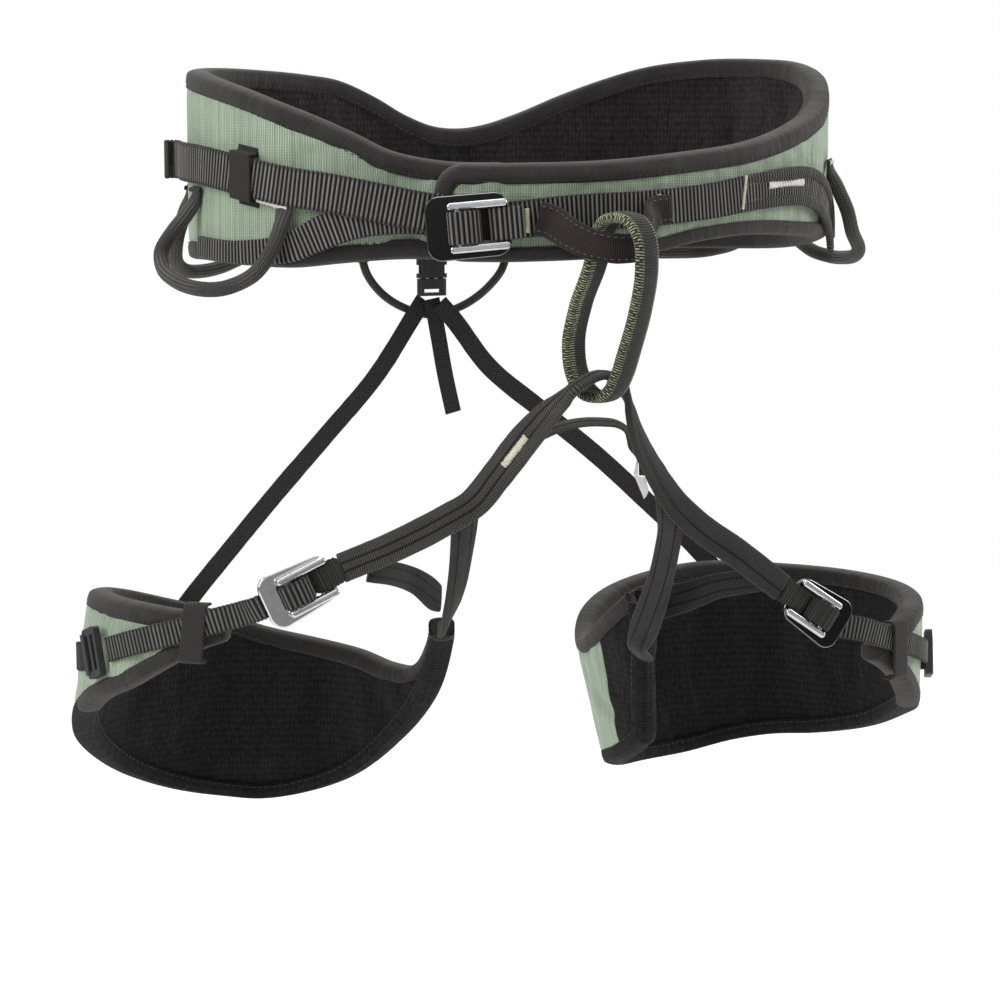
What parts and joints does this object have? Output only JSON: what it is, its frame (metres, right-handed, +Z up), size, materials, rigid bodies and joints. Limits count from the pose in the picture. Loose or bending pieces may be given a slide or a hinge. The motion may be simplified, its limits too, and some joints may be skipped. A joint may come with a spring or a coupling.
{
  "type": "climbing harness",
  "caption": "Sit harness: padded waist belt with tie-in and belay loops, gear loops, and two padded adjustable leg loops joined by a tie-in strap.",
  "frame": {"origin": "centre of the waist opening, at the middle height of the front of the waist belt", "axes": "+Z up along the wearer's body, the wearer faces -Y, +X towards the wearer's left hand (viewer's right)"},
  "size_m": [0.4336, 0.2786, 0.3678],
  "materials": {
    "shell_ripstop": "woven ripstop, sage green",
    "mesh_liner": "embossed black mesh",
    "foam": "closed-cell foam, hidden",
    "edge_tape": "brushed charcoal edge tape",
    "ribbed_webbing": "ribbed black and grey webbing",
    "leg_webbing": "fine ribbed tubular webbing",
    "dark_webbing": "dense stitched webbing",
    "belay_webbing": "dense webbing with flecked yellow-green edges",
    "cord_sleeve": "woven sleeve over a moulded tube",
    "elastic": "woven elastic tape",
    "thread": "cream bar-tack thread",
    "black_plate": "gloss black anodised aluminium",
    "silver_plate": "polished aluminium",
    "buckle_rail": "satin steel",
    "moulded_black": "moulded black acetal"
  },
  "bodies": {
    "waist": {"bar_tacks": "thread", "crotch_strap": "leg_webbing", "elastic_strap_left": "elastic", "elastic_strap_right": "elastic", "elastic_tail": "elastic", "leg_tie_in_strap": "leg_webbing", "rear_buckle_female": "moulded_black", "rear_buckle_web": "elastic", "waist_buckle_loop": "ribbed_webbing", "waist_buckle_plate": "black_plate", "waist_edge_binding": "edge_tape", "waist_foam": "foam", "waist_liner": "mesh_liner", "waist_shell": "shell_ripstop", "waist_strap_keeper": "elastic", "waist_strap_stop": "ribbed_webbing", "waist_strap_tail": "ribbed_webbing", "waist_tie_in_loop": "dark_webbing", "waist_webbing_left": "ribbed_webbing", "waist_webbing_right": "ribbed_webbing"},
    "belay_ring": {"belay_loop": "belay_webbing"},
    "gear_front_left": {"gear_loop_front_left": "cord_sleeve"},
    "gear_rear_left": {"gear_loop_rear_left": "cord_sleeve"},
    "gear_front_right": {"gear_loop_front_right": "cord_sleeve"},
    "gear_rear_right": {"gear_loop_rear_right": "cord_sleeve"},
    "haul": {"haul_loop": "cord_sleeve"},
    "rear_insert": {"rear_buckle_male": "moulded_black"},
    "waist_frame": {"waist_buckle_frame": "buckle_rail", "waist_buckle_strap_fold": "ribbed_webbing"},
    "left_leg": {"left_leg_binding": "edge_tape", "left_leg_buckle_loop": "leg_webbing", "left_leg_buckle_plate": "silver_plate", "left_leg_foam": "foam", "left_leg_front_strap": "leg_webbing", "left_leg_gusset": "leg_webbing", "left_leg_ladder_lock": "moulded_black", "left_leg_liner": "mesh_liner", "left_leg_lock_tab": "leg_webbing", "left_leg_riser": "leg_webbing", "left_leg_shell": "shell_ripstop", "left_leg_strap": "leg_webbing", "left_leg_strap_keeper": "elastic"},
    "left_leg_frame": {"left_leg_buckle_frame": "buckle_rail", "left_leg_buckle_strap_fold": "leg_webbing"},
    "right_leg": {"crotch_strap_hook": "silver_plate", "right_leg_binding": "edge_tape", "right_leg_buckle_loop": "leg_webbing", "right_leg_buckle_plate": "black_plate", "right_leg_foam": "foam", "right_leg_front_strap": "leg_webbing", "right_leg_gusset": "leg_webbing", "right_leg_ladder_lock": "moulded_black", "right_leg_liner": "mesh_liner", "right_leg_lock_tab": "leg_webbing", "right_leg_riser": "leg_webbing", "right_leg_shell": "shell_ripstop", "right_leg_strap": "leg_webbing", "right_leg_strap_keeper": "elastic"},
    "right_leg_frame": {"right_leg_buckle_frame": "buckle_rail", "right_leg_buckle_strap_fold": "leg_webbing"}
  },
  "joints": [
    {"name": "belay_turn", "type": "hinge", "parent": "waist", "child": "belay_ring", "pos_m": [-0.00457, -0.12656, -0.04], "axis": [0.0367, -0.2204, 0.9747], "range_deg": [-6, 4.5]},
    {"name": "gear_front_left_lift", "type": "hinge", "parent": "waist", "child": "gear_front_left", "pos_m": [-0.14611, -0.03557, 0.00225], "axis": [-0.4155, 0.9036, 0.1041], "range_deg": [0, 50]},
    {"name": "gear_rear_left_lift", "type": "hinge", "parent": "waist", "child": "gear_rear_left", "pos_m": [-0.11492, 0.07218, 0.004], "axis": [0.7625, 0.647, 0], "range_deg": [0, 50]},
    {"name": "gear_front_right_lift", "type": "hinge", "parent": "waist", "child": "gear_front_right", "pos_m": [0.15058, -0.01026, 0.00875], "axis": [-0.1219, -0.9836, 0.1333], "range_deg": [0, 50]},
    {"name": "gear_rear_right_lift", "type": "hinge", "parent": "waist", "child": "gear_rear_right", "pos_m": [0.11614, 0.07269, 0.004], "axis": [0.768, -0.6404, 0], "range_deg": [0, 50]},
    {"name": "haul_lift", "type": "hinge", "parent": "waist", "child": "haul", "pos_m": [0.0052, 0.1162, -0.029], "axis": [1, 0, 0], "range_deg": [0, 55]},
    {"name": "rear_buckle_release", "type": "slide", "parent": "waist", "child": "rear_insert", "axis": [0, 0, -1], "range_m": [0, 0.012], "stiffness_N_per_m": 10, "deforming": ["elastic_strap_left", "elastic_strap_right", "elastic_tail"]},
    {"name": "waist_frame_tilt", "type": "hinge", "parent": "waist", "child": "waist_frame", "pos_m": [-0.0492, -0.1164, -0.00212], "axis": [-0.083, 0.0266, 0.9962], "range_deg": [0, 15]},
    {"name": "left_leg_swing", "type": "hinge", "parent": "waist", "child": "left_leg", "pos_m": [0, -0.118, -0.0705], "axis": [-1, 0, 0], "range_deg": [0, 25], "stiffness_Nm_per_rad": 1, "springref_deg": -6.07, "deforming": ["elastic_strap_left", "leg_tie_in_strap", "crotch_strap"]},
    {"name": "left_leg_frame_tilt", "type": "hinge", "parent": "left_leg", "child": "left_leg_frame", "pos_m": [-0.12377, -0.0933, -0.15654], "axis": [-0.3981, 0.0587, 0.9155], "range_deg": [0, 15]},
    {"name": "right_leg_swing", "type": "hinge", "parent": "waist", "child": "right_leg", "pos_m": [0, -0.118, -0.0705], "axis": [-1, 0, 0], "range_deg": [0, 25], "stiffness_Nm_per_rad": 1, "springref_deg": -6.93, "deforming": ["elastic_strap_right", "leg_tie_in_strap", "crotch_strap"]},
    {"name": "right_leg_frame_tilt", "type": "hinge", "parent": "right_leg", "child": "right_leg_frame", "pos_m": [0.10695, -0.09185, -0.18092], "axis": [-0.5638, 0.0118, -0.8259], "range_deg": [0, 15]}
  ]
}
